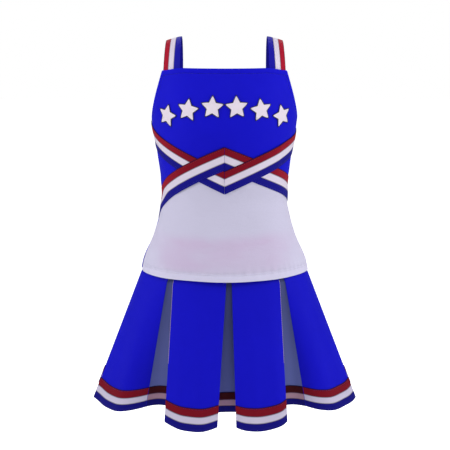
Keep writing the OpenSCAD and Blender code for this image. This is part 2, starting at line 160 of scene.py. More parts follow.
def drape(f, z):
    """How far the top's soft cloth stands off its smooth outline."""
    side = np.sin(np.radians(f)) ** 2
    hem = ease((0.03 - z) / 0.11)
    waist = bell(z - 0.085, 0.035)
    bust = bell(z - 0.2, 0.035) * side
    wave = lambda k, phase: np.sin(np.radians(k * f) + phase)
    band = bell(z - 0.002, 0.013)
    fold = np.sin(70 * z + 2.2 * np.sin(np.radians(2.3 * f) + 1.3) + 9 * np.sin(np.radians(0.7 * f)))
    return MM * (1.3 * hem * (wave(5, 0.6) + 0.5 * wave(9, 2.1 + 6 * z))
                 + 0.9 * waist * (0.3 + side) * np.sin(120 * z + np.radians(3 * f))
                 + 0.8 * bust * np.sin(95 * z + np.radians(5 * f) + 1)
                 + 0.5 * band + 0.4 * fold * ease((0.13 - z) / 0.08) * (1 - 0.4 * hem))


def upper_edge(f):
    """Upper edge of the top's panels: neckline, then strap corner, then armhole."""
    front = np.cos(np.radians(f)) > 0
    from_middle = np.where(front, np.abs(f), 180 - np.abs(f))
    middle = np.where(front, NECK_Z, BACK_NECK_Z)
    corner = middle - 6 * MM
    neck = lerp(middle, corner, ease((from_middle - 32) / (STRAP_EDGE_F - 32)))
    side = np.maximum(0, 90 - from_middle) / (90 - STRAP_EDGE_F)
    armhole = lerp(UNDERARM_Z, corner, np.minimum(side, 1) ** 1.67)
    return np.where(from_middle <= STRAP_EDGE_F, neck, armhole)


def round_body(f):
    """Distance round the body from centre front to angle f."""
    return MM * (118 * np.radians(np.abs(f)) + 7.6 * np.sin(np.radians(2 * np.abs(f))))


def vee(f):
    """Middle of the ribbon that dips to a vee at centre front."""
    d = round_body(f)
    return VEE_Z + 0.466 * d - np.where(f > 0, 0.43, 0) * d ** 2


def peak(f):
    """Middle of the ribbon that rises to a peak at centre front."""
    d = round_body(f)
    past = np.maximum(0, d - 0.12)
    bend, drop = np.where(f > 0, 0.2, -0.54), np.where(f > 0, 1, 3)
    return PEAK_Z - 0.444 * d + bend * d ** 2 - drop * past ** 2


def colour_seam(f):
    """Where the blue bodice meets the white midriff, under the lower of the two ribbons."""
    return np.minimum(vee(f), peak(f))


RIBBON_SLOPE = 0.455
RIBBON_HALF_H = RIBBON_W / 2 * math.hypot(1, RIBBON_SLOPE)    # half a sloping ribbon's height


# ---- Meshes --------------------------------------------------------------------------------

def steps(length, pitch, thick, seams=()):
    """Positions from 0 to length: close together at both rims and at each seam, else a pitch apart."""
    rim = np.array([0, 0.1, 0.35, 0.7, 1]) * thick / 2
    points = [rim, length - rim, np.linspace(thick, length - thick, max(2, round(length / pitch)))]
    points += [at + np.array([-1.6, -0.8, 0, 0.8, 1.6]) * MM for at in seams]
    line = np.unique(np.round(np.concatenate(points), 7))
    line = line[(line >= 0) & (line <= length)]
    keep = [True]
    for gap, here in zip(np.diff(line), line[1:]):
        near_rim = min(here, length - here) <= thick
        keep.append(near_rim or gap > 0.25 * MM)
    return line[np.array(keep)]


def new_object(name, points, faces, uvs=None):
    """A mesh object of quads or triangles, smooth shaded, with one UV per point if given."""
    mesh = bpy.data.meshes.new(name)
    faces = np.asarray(faces, np.int32)
    count, sides = faces.shape
    mesh.vertices.add(len(points))
    mesh.vertices.foreach_set("co", np.asarray(points, np.float32).ravel())
    mesh.loops.add(count * sides)
    mesh.loops.foreach_set("vertex_index", faces.ravel())
    mesh.polygons.add(count)
    mesh.polygons.foreach_set("loop_start", np.arange(0, count * sides, sides, dtype=np.int32))
    mesh.polygons.foreach_set("use_smooth", np.ones(count, bool))
    if uvs is not None:
        layer = mesh.uv_layers.new(name="cut")
        layer.data.foreach_set("uv", np.asarray(uvs, np.float32)[faces.ravel()].ravel())
    mesh.update(calc_edges=True)
    mesh.validate()
    obj = bpy.data.objects.new(name, mesh)
    bpy.context.scene.collection.objects.link(obj)
    return obj


def run_length(points, axis):
    """Distance from the first point, measured along an axis of a grid of points."""
    gaps = np.linalg.norm(np.diff(points, axis=axis), axis=2)
    pad = [(0, 0), (0, 0)]
    pad[axis] = (1, 0)
    return np.cumsum(np.pad(gaps, pad), axis=axis)


def normals_of(points, ring=False):
    """Unit normals of a grid of points."""
    across = np.roll(points, -1, 0) - np.roll(points, 1, 0) if ring else np.gradient(points, axis=0)
    n = np.cross(across, np.gradient(points, axis=1))
    return n / np.maximum(np.linalg.norm(n, axis=2, keepdims=True), 1e-12)


def sheet(name, mid, thick, relief=0.0, ring=False, uv=None):
    """A closed sheet of cloth with rounded edges round a grid of points in its middle.
    Columns run round the body, rows run upwards, and ring joins the last column to the first.
    relief lifts the outer face. Without uv, the cut's own metres are the UVs."""
    ni, nj = mid.shape[:2]
    n = normals_of(mid, ring)
    along, up = run_length(mid, 0), run_length(mid, 1)
    rim = np.minimum(up, up[:, -1:] - up)
    if not ring:
        rim = np.minimum(rim, np.minimum(along, along[-1:] - along))
    half = thick / 2 * np.sqrt(1 - (1 - np.clip(rim / (thick / 2), 0, 1)) ** 2)
    face = half * np.ones((ni, nj))
    outer = mid + n * (face + relief * (face > 0))[..., None]
    inner = mid - n * face[..., None]
    ids = np.arange(ni * nj).reshape(ni, nj)
    inside = np.ones((ni, nj), bool)
    inside[:, [0, -1]] = False
    if not ring:
        inside[[0, -1], :] = False
    back_ids = ids.copy()
    back_ids[inside] = ni * nj + np.arange(inside.sum())

    def quads(grid, turned):
        nxt = np.roll(grid, -1, 0)
        last = ni if ring else ni - 1
        corners = [grid[:last, :-1], nxt[:last, :-1], nxt[:last, 1:], grid[:last, 1:]]
        found = np.stack([c.ravel() for c in corners], 1)
        return found[:, ::-1] if turned else found

    if uv is None:
        uv = np.stack([along, up], -1)
    points = np.concatenate([outer.reshape(-1, 3), inner[inside]])
    uvs = np.concatenate([uv.reshape(-1, 2), uv[inside]])
    obj = new_object(name, points, np.concatenate([quads(ids, False), quads(back_ids, True)]), uvs)
    cut = along[-1].max(), up[:, -1].max()
    corners = mid[:-1, :-1], mid[1:, :-1], mid[:-1, 1:]
    area = np.linalg.norm(np.cross(corners[1] - corners[0], corners[2] - corners[0]), axis=2).sum()
    obj["cut"] = [float(cut[0]), float(cut[1]), float(min(area, cut[0] * cut[1]))]
    return obj


def thread(name, lines, length=3.0 * MM, gap=1.3 * MM, radius=0.26 * MM):
    """Stitches along lines, each a pair of points and outward normals on the cloth's face."""
    turn = np.radians(np.arange(0, 360, 60))
    rings = np.array([-1, -0.8, -0.3, 0.3, 0.8, 1])
    widths = np.array([0.1, 0.75, 1, 1, 0.75, 0.1]) * radius
    lifts = 0.35 * radius * (1 - 1.6 * rings ** 2)
    ids = np.arange(len(rings) * len(turn)).reshape(len(rings), len(turn))
    nxt = np.roll(ids, -1, 1)
    tube = np.stack([ids[:-1], nxt[:-1], nxt[1:], ids[1:]], -1).reshape(-1, 4)
    blocks, faces, count = [], [], 0
    for line, normals in lines:
        run = np.concatenate([[0], np.cumsum(np.linalg.norm(np.diff(line, axis=0), axis=1))])
        starts = np.arange(gap / 2, run[-1] - length, length + gap)
        at = lambda d, values: np.stack([np.interp(d, run, values[:, k]) for k in range(3)], -1)
        a, b, n = at(starts, line), at(starts + length, line), at(starts + length / 2, normals)
        axis = (b - a) / np.linalg.norm(b - a, axis=1, keepdims=True)
        n /= np.linalg.norm(n, axis=1, keepdims=True)
        side = np.cross(axis, n)
        block = np.stack([(a + b) / 2 + axis * x * length / 2
                          + side * r * math.cos(q) + n * (r * math.sin(q) + lift)
                          for x, r, lift in zip(rings, widths, lifts) for q in turn], 1).reshape(-1, 3)
        firsts = count + np.arange(0, len(block), ids.size)
        faces.append((tube + firsts[:, None, None]).reshape(-1, 4))
        count += len(block)
        blocks.append(block)
    return new_object(name, np.concatenate(blocks), np.concatenate(faces))


def line_on(surface, off=0.0, rise=MM):
    """A line on a surface, off above it, with its outward normals; surface takes a height only."""
    points = surface(off)
    return points, surface(rise) - points


def settle(obj, material, body, nodes=(), to_body=None):
    obj.data.materials.append(material)
    if nodes:
        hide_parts(*nodes)
    if to_body:
        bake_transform(obj)
    else:
        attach(obj, body)


# ---- Materials -----------------------------------------------------------------------------

class Shader:
    """A material's node tree, with short calls for the nodes that cloth and metal need."""

    def __init__(self, name, roughness, specular=0.5, sheen=0.0, sheen_tint=(1, 1, 1), metallic=0.0):
        self.material = bpy.data.materials.new(name)
        self.material.use_nodes = True
        self.tree = self.material.node_tree
        self.surface = self.tree.nodes["Principled BSDF"]
        for socket, value in (("Roughness", roughness), ("Specular IOR Level", specular),
                              ("Sheen Weight", sheen), ("Sheen Roughness", 0.4),
                              ("Sheen Tint", (*sheen_tint, 1)), ("Metallic", metallic)):
            self.surface.inputs[socket].default_value = value
        coordinates = self.node("TexCoord")
        self.place = coordinates.outputs["Object"]
        cut = self.node("SeparateXYZ", Vector=coordinates.outputs["UV"])
        self.u, self.v = cut.outputs["X"], cut.outputs["Y"]
        position = self.node("SeparateXYZ", Vector=self.place)
        self.x, self.z = position.outputs["X"], position.outputs["Z"]

    def put(self, socket, value):
        """Joins a socket to another node, or sets its value."""
        if hasattr(value, "links"):
            self.tree.links.new(value, socket)
        else:
            socket.default_value = value

    def node(self, kind, **inputs):
        """A new node. Each input is named as in Blender, with _ for a space."""
        made = self.tree.nodes.new("ShaderNode" + kind)
        for name, value in inputs.items():
            self.put(made.inputs[name.replace("_", " ")], value)
        return made

    def math(self, operation, a, b=0.0):
        made = self.node("Math")
        made.operation = operation
        self.put(made.inputs[0], a)
        self.put(made.inputs[1], b)
        return made.outputs[0]

    def plus(self, a, b):
        return self.math("ADD", a, b)

    def minus(self, a, b):
        return self.math("SUBTRACT", a, b)

    def times(self, a, b):
        return self.math("MULTIPLY", a, b)

    def absolute(self, a):
        return self.math("ABSOLUTE", a)

    def noise(self, scale, detail=2.0, stretch=(1, 1, 1)):
        mapping = self.node("Mapping", Scale=stretch, Vector=self.place)
        return self.node("TexNoise", Scale=scale, Detail=detail, Vector=mapping.outputs[0]).outputs["Fac"]

    def wave(self, along, pitch):
        """0 to 1 and back once in each pitch."""
        turned = self.times(along, 2 * math.pi / pitch)
        return self.plus(self.times(self.math("SINE", turned), 0.5), 0.5)

    def mix(self, share, a, b):
        made = self.node("Mix")
        made.data_type = "RGBA"
        self.put(made.inputs["Factor"], share)
        for socket, value in ((made.inputs[6], a), (made.inputs[7], b)):
            self.put(socket, (*value, 1) if isinstance(value, tuple) else value)
        return made.outputs[2]

    def spread(self, value, low, high):
        """value from 0 to 1 spread from low to high."""
        return self.node("MapRange", Value=value, To_Min=low, To_Max=high).outputs[0]

    def above(self, value, edge, soft):
        """0 below edge and 1 above it, with a soft step that reaches soft to either side."""
        made = self.node("MapRange", Value=value, From_Min=edge - soft, From_Max=edge + soft)
        made.interpolation_type = "SMOOTHSTEP"
        return made.outputs[0]

    def seen(self, low, high):
        """high where the camera looks straight at the surface, and low for the light it gives."""
        return self.spread(self.node("LightPath").outputs["Is Camera Ray"], low, high)

    def finish(self, color, height, depth, strength, roughness):
        """Joins the colour, the bump and the roughness to the surface."""
        self.put(self.surface.inputs["Base Color"], color)
        bump = self.node("Bump", Strength=strength, Distance=depth, Height=height)
        self.put(self.surface.inputs["Normal"], bump.outputs[0])
        self.put(self.surface.inputs["Roughness"], roughness)
        return self.material


def shade(color, k):
    """A colour made k times as bright."""
    return tuple(c * k for c in color)


def woven(name, color, pitch=0.7 * MM, variation=0.1, painted_top_shade=None):
    """Smooth suiting with a faint twill, soft colour variation, slubs and low creases.
    A top shade factor, if given, paints shade that darkens the cloth towards the top of the skirt, deep in
    the pleats."""
    s = Shader(name, 0.62, 0.08, 0.02, sheen_tint=tuple(min(1, c * 2 + 0.1) for c in color))
    twill = s.wave(s.plus(s.u, s.v), pitch)
    yarn = s.wave(s.minus(s.u, s.v), pitch / 2.3)
    weave = s.plus(s.times(twill, 0.7), s.times(yarn, 0.3))
    slub = s.noise(900, 1, (0.12, 0.12, 1))
    cloud = s.noise(7, 3)
    base = s.mix(cloud, shade(color, 1 - variation), shade(color, 1 + variation))
    # Painted shade: darker towards the top of the skirt, as deep inside a pleat.
    if painted_top_shade:
        base = s.mix(s.above(s.z, -0.19, 0.1), base, shade(color, painted_top_shade))
    base = s.mix(s.spread(weave, 0.0, 0.16), base, shade(color, 0.55))
    height = s.plus(weave, s.times(slub, 0.5))
    height = s.plus(height, s.times(s.noise(16, 3, (1, 1, 0.6)), 14))
    return s.finish(base, height, 0.09 * MM, 0.5, s.spread(s.noise(40, 2), 0.56, 0.7))


def knitted(name, color, warm):
    """Soft knit: columns of small V stitches. A warm tint lies in patches over the hips at the
    front. Painted light makes the cloth paler towards the sides, next to the tint, and along the hem."""
    s = Shader(name, 0.8, 0.15, 0.12, sheen_tint=(0.95, 0.93, 1.0))
    pitch = 1.1 * MM
    column = s.wave(s.u, pitch)
    lean = s.times(s.absolute(s.minus(column, 0.5)), pitch)
    row = s.wave(s.plus(s.v, lean), pitch * 0.8)
    stitch = s.plus(s.times(column, 0.6), s.times(row, 0.4))
    blotch = s.noise(14, 3)
    edge = s.plus(s.z, s.times(blotch, -0.02))
    low = s.minus(1.0, s.above(edge, -0.004, 0.014))
    band = s.times(low, s.above(edge, -0.07, 0.02))
    across = s.plus(s.absolute(s.x), s.times(blotch, 0.07))
    # Painted light: the cloth is paler towards the sides, where the warm tint fades out.
    beside = s.above(across, 0.17, 0.055)
    patch = s.spread(s.above(s.noise(12, 3, (0.6, 0.6, 1.7)), 0.46, 0.15), 0.6, 1.1)
    band = s.times(s.times(band, patch), s.minus(1.0, beside))
    base = s.mix(band, color, warm)
    base = s.mix(beside, base, shade(color, 1.1))
    # Painted light: paler along the hem.
    base = s.mix(s.above(s.z, -0.062, 0.005), shade(color, 1.13), base)
    base = s.mix(s.spread(s.noise(5, 2), 0.0, 0.12), base, shade(color, 1.2))
    base = s.mix(s.spread(stitch, 0.1, 0.0), base, shade(color, 0.6))
    crease = s.plus(s.noise(26, 3, (0.7, 0.7, 1.5)), s.times(s.noise(9, 2, (1, 1, 0.7)), 2.0))
    height = s.plus(stitch, s.times(crease, 26))
    return s.finish(base, height, 0.12 * MM, 0.55, s.spread(s.noise(60, 2), 0.72, 0.88))


def striped(name, red, white, blue, edges, painted_lit_red=None):
    """Ribbon with three stripes across v, from 0 to 1, that meet at edges, and fine ribs along u.
    A second red, if given, is painted light: the red stripe brightens to it towards the end far from u =
    0."""
    s = Shader(name, 0.6, 0.08, 0.02, sheen_tint=(0.9, 0.8, 0.9))
    ribs = s.wave(s.u, 0.75 * MM)
    fibre = s.noise(700, 2)
    low_edge, high_edge = edges
    soft = 0.012
    color = s.mix(s.above(s.v, low_edge, soft), blue, white)
    # Painted light: the red brightens away from u = 0, towards the side seams.
    if painted_lit_red:
        red = s.mix(s.above(s.u, 0.12, 0.06), red, painted_lit_red)
    color = s.mix(s.above(s.v, high_edge, soft), color, red)
    join = s.math("MINIMUM", s.absolute(s.minus(s.v, low_edge)),
                  s.absolute(s.minus(s.v, high_edge)))
    line = s.minus(1.0, s.above(join, 0.028, 0.012))
    color = s.mix(s.times(line, 0.5), color, (0.02, 0.008, 0.05))
    worn = s.noise(25, 3)
    color = s.mix(s.spread(worn, 0.1, 0.0), color, (0.02, 0.01, 0.03))
    color = s.mix(s.spread(ribs, 0.14, 0.0), color, (0.005, 0.003, 0.01))
    color = s.mix(s.above(s.v, 0.968, 0.01), color, (0.006, 0.003, 0.03))
    height = s.plus(ribs, s.times(fibre, 0.4))
    return s.finish(color, height, 0.12 * MM, 0.6, s.spread(worn, 0.5, 0.7))


def satin_stitch(name, color):
    """Embroidery thread laid side by side."""
    s = Shader(name, 0.42, 0.35, 0.1, sheen_tint=(1, 0.95, 1))
    threads = s.wave(s.u, 0.55 * MM)
    base = s.mix(s.noise(30, 2), shade(color, 0.94), color)
    base = s.mix(s.spread(threads, 0.14, 0.0), base, shade(color, 0.5))
    return s.finish(base, threads, 0.15 * MM, 0.7, s.spread(s.noise(120, 2), 0.36, 0.5))


def metal(name, color):
    """Polished metal with fine scratches and a patchy bloom."""
    s = Shader(name, 0.3, 0.5, metallic=1.0)
    scratch = s.noise(1400, 2, (0.08, 1, 1))
    tarnish = s.noise(160, 3)
    base = s.mix(s.spread(tarnish, 0.0, 0.35), color, shade(color, 0.62))
    return s.finish(base, scratch, 0.02 * MM, 0.4, s.spread(tarnish, 0.24, 0.44))


def moulded(name, color):
    """Moulded plastic with a fine grain."""
    s = Shader(name, 0.35, 0.4)
    grain = s.noise(2500, 2)
    base = s.mix(s.noise(90, 2), shade(color, 0.85), shade(color, 1.1))
    return s.finish(base, grain, 0.02 * MM, 0.4, s.spread(grain, 0.3, 0.42))


ROYAL = (0.006, 0.005, 0.62)
NAVY = (0.005, 0.004, 0.22)
RED = (0.215, 0.003, 0.013)
WHITE = (0.86, 0.78, 0.93)
THIRDS = (1 / 3, 2 / 3)      # where the stripes meet on the straps and the front ribbons
HEM_STRIPES = (0.33, 0.63)   # where they meet on the hem ribbon

royal_cloth = woven("royal_cloth", ROYAL)
skirt_cloth = woven("royal_skirt_cloth", shade(ROYAL, 0.93))
# The lining gets painted shade towards the top of the skirt, deep in the pleats.
slate_cloth = woven("pleat_lining", (0.125, 0.15, 0.41), variation=0.14, painted_top_shade=0.62)
white_knit = knitted("white_knit", (0.62, 0.597, 0.772), (0.615, 0.505, 0.715))
# The front ribbons' red gets painted light towards the side seams.
trim_ribbon = striped("trim_ribbon", shade(RED, 1.15), WHITE, shade(NAVY, 1.25), THIRDS,
                      painted_lit_red=shade(RED, 1.9))
# Painted light: the straps' ribbon is a copy of the front ribbon with its red and navy made brighter.
lit_strap_ribbon = striped("lit_strap_ribbon", shade(RED, 2.2), WHITE, shade(NAVY, 1.9), THIRDS)
hem_ribbon = striped("hem_ribbon", RED, (0.67, 0.62, 0.8), NAVY, HEM_STRIPES)
# Painted shade: a darkened copy of the hem ribbon, for the ribbon on the underlays deep in the pleats.
shaded_recess_ribbon = striped("shaded_recess_ribbon", (0.05, 0.002, 0.004), (0.45, 0.27, 0.35),
                        shade(NAVY, 0.75), HEM_STRIPES)
star_satin = satin_stitch("star_satin", (0.93, 0.83, 0.95))
star_border = satin_stitch("star_border", (0.006, 0.004, 0.03))
royal_thread = satin_stitch("royal_thread", (0.006, 0.005, 0.2))
white_thread = satin_stitch("white_thread", (0.6, 0.56, 0.68))
# Painted highlight: the colour of the pale line along the front pleats' pressed edges.
highlight_thread = satin_stitch("highlight_thread", (0.5, 0.38, 0.45))
elastic_rib = woven("elastic_rib", (0.7, 0.7, 0.74), pitch=1.6 * MM)
tape_weave = woven("tape_weave", shade(ROYAL, 0.8), pitch=0.9 * MM)
nickel = metal("satin_nickel", (0.75, 0.74, 0.72))
tooth_plastic = moulded("tooth_plastic", (0.014, 0.012, 0.45))


# ---- Top: panels ---------------------------------------------------------------------------

FRONT_SPAN = MM * 410   # nominal distance round the front, side seam to side seam
BACK_SPAN = MM * 205    # nominal distance round one half of the back
EDGE_LINE = 9.5 * MM    # how far the edge stitching lies from a neckline or armhole
HEM_LINES = (12.5 * MM, 16 * MM)  # the two rows of stitching above the top's hem
BODICE_H, MIDRIFF_H, BACK_H = 0.17, 0.19, 0.36  # nominal heights of the panels
NECK_FACING_W, ARMHOLE_FACING_W = 13 * MM, 10 * MM


def edge_slope(f):
    """How much longer than its height a step along the upper edge is, smoothed at the corners."""
    turned = np.stack([upper_edge(f + d) for d in (-2.5, -1.25, 0, 1.25, 2.5)])
    steep = np.abs(turned[-1] - turned[0]) / (5 * 2.4 * MM)
    return np.minimum(np.hypot(1, steep), 2.2)


def hung_from_edge(f, down, low, nominal):
    """Heights a distance down from the upper edge, square to it near the edge and level below."""
    high = upper_edge(f)
    k = lerp(edge_slope(f), (high - low) / nominal, ease(down / 0.03))
    return high - down * k


def groove(distance, at, depth=0.45 * MM, width=0.9 * MM):
    return -depth * bell(distance - at, width)


def pucker(along, distance, at, pitch=7 * MM, reach=5 * MM, height=0.22 * MM):
    """Small ripples that stitching draws up beside a seam."""
    ripple = np.sin(2 * math.pi * along / pitch + 1.7 * np.sin(along * 37))
    return height * ripple * bell(distance - at, reach)


def front_columns():
    """Distances across a front panel, as a column, and the angles there."""
    across = steps(FRONT_SPAN, 3.2 * MM, CLOTH)[:, None]
    return across, lerp(-90 + SIDE_GAP_F, 90 - SIDE_GAP_F, across / FRONT_SPAN)


def bodice():
    across, f = front_columns()
    d = steps(BODICE_H, 3.2 * MM, CLOTH, seams=[EDGE_LINE])[::-1][None, :]
    z = hung_from_edge(f, d, colour_seam(f) + 0.2 * MM, BODICE_H)
    relief = groove(d, EDGE_LINE, 0.7 * MM, 1.1 * MM) + pucker(across, d, EDGE_LINE)
    obj = sheet("bodice_front", torso(f, z, -CLOTH / 2), CLOTH, relief)
    settle(obj, royal_cloth, "top", ["bodice_front"])


def midriff():
    across, f = front_columns()
    d = steps(MIDRIFF_H, 3.2 * MM, CLOTH, seams=HEM_LINES)[None, :]
    span = colour_seam(f) - 0.2 * MM - TOP_HEM_Z
    z = TOP_HEM_Z + d * lerp(1, span / MIDRIFF_H, ease(d / 0.06))
    relief = sum(groove(d, line, 0.6 * MM, 1.1 * MM) for line in HEM_LINES)
    relief = relief + pucker(across, d, HEM_LINES[1], 14 * MM, 9 * MM, 0.6 * MM)
    obj = sheet("midriff_front", torso(f, z, -CLOTH / 2), CLOTH, relief)
    settle(obj, white_knit, "top", ["midriff_front"])


def beside_zip(f, z):
    """The angle at which a back panel's point lies, once its edge opens for the zip."""
    low, high = ZIP_LOW_Z - 24 * MM, ZIP_LOW_Z - 8 * MM
    edge = lerp(SIDE_GAP_F, ZIP_GAP_F, ease((z - low) / (high - low)))
    share = (np.abs(f) - 180 + STRAP_EDGE_F) / (STRAP_EDGE_F - ZIP_GAP_F)
    return np.where(share <= 0, f, np.sign(f) * (180 - STRAP_EDGE_F + share * (STRAP_EDGE_F - edge)))


def sided(name, side):
    """A piece's name with its side, which is 1 for the wearer's left and -1 for the right."""
    return name + ("_left" if side > 0 else "_right")


def back_half(side):
    name = sided("back", side)
    zip_line, hem_line = BACK_SPAN - 7 * MM, BACK_H - HEM_LINES[1]
    across = steps(BACK_SPAN, 3.4 * MM, CLOTH, seams=[zip_line])[:, None]
    f = lerp(90 + SIDE_GAP_F, 180 - ZIP_GAP_F, across / BACK_SPAN)
    d = steps(BACK_H, 3.4 * MM, CLOTH, seams=[EDGE_LINE, hem_line])[::-1][None, :]
    z = hung_from_edge(f, d, TOP_HEM_Z, BACK_H)
    relief = (groove(d, EDGE_LINE) + groove(d, hem_line) + pucker(across, d, EDGE_LINE)
              + pucker(across, d, hem_line, 11 * MM, 7 * MM, 0.4 * MM)
              + groove(across, zip_line, 0.35 * MM)
              + pucker(d, across, zip_line, 9 * MM, 5 * MM, 0.3 * MM))
    mid = torso(beside_zip(f, z), z, -CLOTH / 2)
    if side < 0:
        mid, relief = mid[::-1] * [-1, 1, 1], relief[::-1]
    obj = sheet(name, mid, CLOTH, relief)
    settle(obj, royal_cloth, "top", [name])


def facing(name, start_f, end_f, depth, off):
    """A strip of cloth inside a neckline or armhole."""
    thick = 0.8 * MM
    span = abs(end_f - start_f) * 2.3 * MM
    f = lerp(start_f, end_f, steps(span, 4 * MM, thick) / span)[:, None]
    t = steps(depth, 3 * MM, thick)[None, :] / depth
    z = lerp(upper_edge(f) - depth - 1 * MM, upper_edge(f) - 1 * MM, t)
    obj = sheet(name, torso(f, z, off - thick / 2), thick)
    settle(obj, royal_cloth, "top", [name])


UNDER_PANEL = -1.5 * MM - 0.6 * MM    # where the innermost layers start, as in the CAD model
UNDER_STRAP = UNDER_PANEL - 2.0 * MM


def facings():
    inner, outer = STRAP_EDGE_F - 1, STRAP_EDGE_F + 1
    facing("neck_facing_front", -inner, inner, NECK_FACING_W, UNDER_STRAP)
    for name, ends, width, off in (
            ("neck_facing_back", (180 - inner, 174), NECK_FACING_W, UNDER_STRAP),
            ("armhole_facing", (outer, 180 - outer), ARMHOLE_FACING_W, UNDER_PANEL)):
        for side in (1, -1):
            facing(sided(name, side), *sorted(side * f for f in ends), width, off)


# ---- Top: ribbon trim, straps and stars ----------------------------------------------------

def stripe_relief(v, edges, height=0.22 * MM):
    """Each stripe stands a little proud in its middle, with a fine valley at each join."""
    bounds = [0, *edges, 1]
    lifted = 0
    for low, high in zip(bounds, bounds[1:]):
        inside = np.clip((v - low) / (high - low), 0, 1)
        lifted = lifted + height * np.sqrt(np.maximum(0, np.sin(math.pi * inside)))
    return lifted


def ribbon_rows(width, edges):
    return steps(width, 3.0 * MM, RIBBON_T, seams=[e * width for e in edges]) / width


ARM_SPAN = MM * 204    # distance round the body along one arm of a front ribbon


def crossing(f):
    """1 where the two ribbons cross, else 0."""
    apart = np.abs(vee(f) - peak(f))
    return ease((2.35 * RIBBON_HALF_H - apart) / (0.45 * RIBBON_HALF_H))


def front_ribbon(name, line, side, over):
    """One arm of a ribbon across the front; over says that it lies on top at the crossing."""
    along = steps(ARM_SPAN, 3 * MM, RIBBON_T)
    f = lerp(0.1, 90 - SIDE_GAP_F, along / ARM_SPAN)[:, None] * side
    v = ribbon_rows(RIBBON_W, THIRDS)[None, :]
    z = line(f) + lerp(-RIBBON_HALF_H, RIBBON_HALF_H, v)
    off = 0.35 * MM + RIBBON_T / 2 + (1.25 * MM * crossing(f) if over else 0)
    mid = torso(f, z, off)
    if side < 0:
        mid = mid[::-1]
        along = along[::-1]
    uv = np.stack(np.broadcast_arrays(along[:, None], v), -1)
    ripple = pucker(along[:, None], v * RIBBON_W, 0, 6 * MM, 4 * MM, 0.12 * MM)
    obj = sheet(name, mid, RIBBON_T, stripe_relief(v, THIRDS) + ripple, uv=uv)
    settle(obj, trim_ribbon, "top", [name])


STRAP_LENGTH = MM * 300
STRAP_W = MM * 40
STRAP_TUCK = 11 * MM               # how far a strap's end goes down inside the neckline
STRAP_INNER_F = STRAP_EDGE_F - 18.7
STRAP_OUTER_F = STRAP_EDGE_F - 0.8
CROWN_INNER_X = 84 * MM            # a strap's edges at the top of the shoulder
CROWN_OUTER_X = 115 * MM
CROWN_DROP = 8 * MM                # how much lower its outer edge lies there


def strap_surface(u, v, off):
    """u runs from the front end at 0 to the back end at 1, and v from the inner to the outer edge."""
    u, v = np.broadcast_arrays(u, v)
    tucked = 0.045
    back = u > 0.5
    f = lerp(STRAP_INNER_F, STRAP_OUTER_F, v)
    at = np.where(back, 180 - f, f)
    edge = upper_edge(at)
    turn = np.clip((np.minimum(u, 1 - u) - tucked) / (0.5 - tucked), 0, 1) * math.pi / 2
    base = torso(at, edge + 1 * MM, UNDER_PANEL + off)
    crown_x = lerp(CROWN_INNER_X, CROWN_OUTER_X, v)
    crown_z = STRAP_CROWN_Z - CROWN_DROP * v ** 1.3 - CLOTH / 2 + off
    rise = np.sin(turn)
    arch = np.stack([lerp(base[..., 0], crown_x, rise), base[..., 1] * np.cos(turn),
                     lerp(base[..., 2], crown_z, rise)], -1)
    below = np.clip(1 - np.minimum(u, 1 - u) / tucked, 0, 1)
    end = torso(at, edge + 1 * MM - below * STRAP_TUCK, UNDER_PANEL + off)
    return np.where((below > 0)[..., None], end, arch)


def strap(side):
    name = sided("strap", side)
    u = (steps(STRAP_LENGTH, 3.2 * MM, RIBBON_T) / STRAP_LENGTH)[None, :]
    v = ribbon_rows(STRAP_W, THIRDS)[:, None]
    mid = strap_surface(u, v, -RIBBON_T / 2)
    relief = stripe_relief(v, THIRDS) * np.ones_like(u)
    uv = np.stack(np.broadcast_arrays(u * STRAP_LENGTH, v), -1)
    if side < 0:
        mid, relief, uv = mid[::-1] * [-1, 1, 1], relief[::-1], uv[::-1]
    obj = sheet(name, mid, RIBBON_T, relief, uv=uv)
    settle(obj, lit_strap_ribbon, "top", [name])


STAR_F = (-49, -28.3, -9, 9, 28.3, 49)
STAR_R = 24 * MM
STAR_WAIST = 0.5    # radius of a notch, as a share of a tip's
ARM_POINTS = 24     # points along each arm's outline
STAR_Z = 0.265      # height of the middle of the arc
ARC_DROP = 0.02     # how much lower its outermost stars are
CHEST_W, CHEST_D = 0.147, 0.110
STAR_BORDER = 1.7 * MM


def star_outline(k):
    """Radius and direction of point k of a star's outline, with slightly blunt tips."""
    share = (k % ARM_POINTS) / ARM_POINTS
    from_tip = np.abs(share - 0.5) * 2
    x = from_tip * STAR_WAIST * math.sin(math.radians(36)) * np.sign(share - 0.5)
    y = lerp(1.0, STAR_WAIST * math.cos(math.radians(36)), from_tip)
    blunt = 0.06 * bell(from_tip, 0.16)
    arm = np.radians(72) * (k // ARM_POINTS)
    return np.hypot(x, y) - blunt, np.arctan2(x, y) + arm


def on_chest(f, radius, direction, off):
    """Points round the middle of the star at angle f, which leans outwards along the arc."""
    lean = direction + np.radians(-0.3 * f)
    across, up = radius * np.sin(lean), radius * np.cos(lean)
    turn = math.radians(f)
    per_degree = math.hypot(CHEST_W * math.cos(turn), CHEST_D * math.sin(turn)) * math.pi / 180
    middle = STAR_Z - ARC_DROP * (f / STAR_F[-1]) ** 2
    return torso(f + across / per_degree, middle + up, off)


def repeated(name, copies, faces, uv):
    """One object from several copies of a shape, which share their faces and UVs."""
    every = np.concatenate([faces + n * len(points) for n, points in enumerate(copies)])
    return new_object(name, np.concatenate(copies), every, np.tile(uv, (len(copies), 1)))


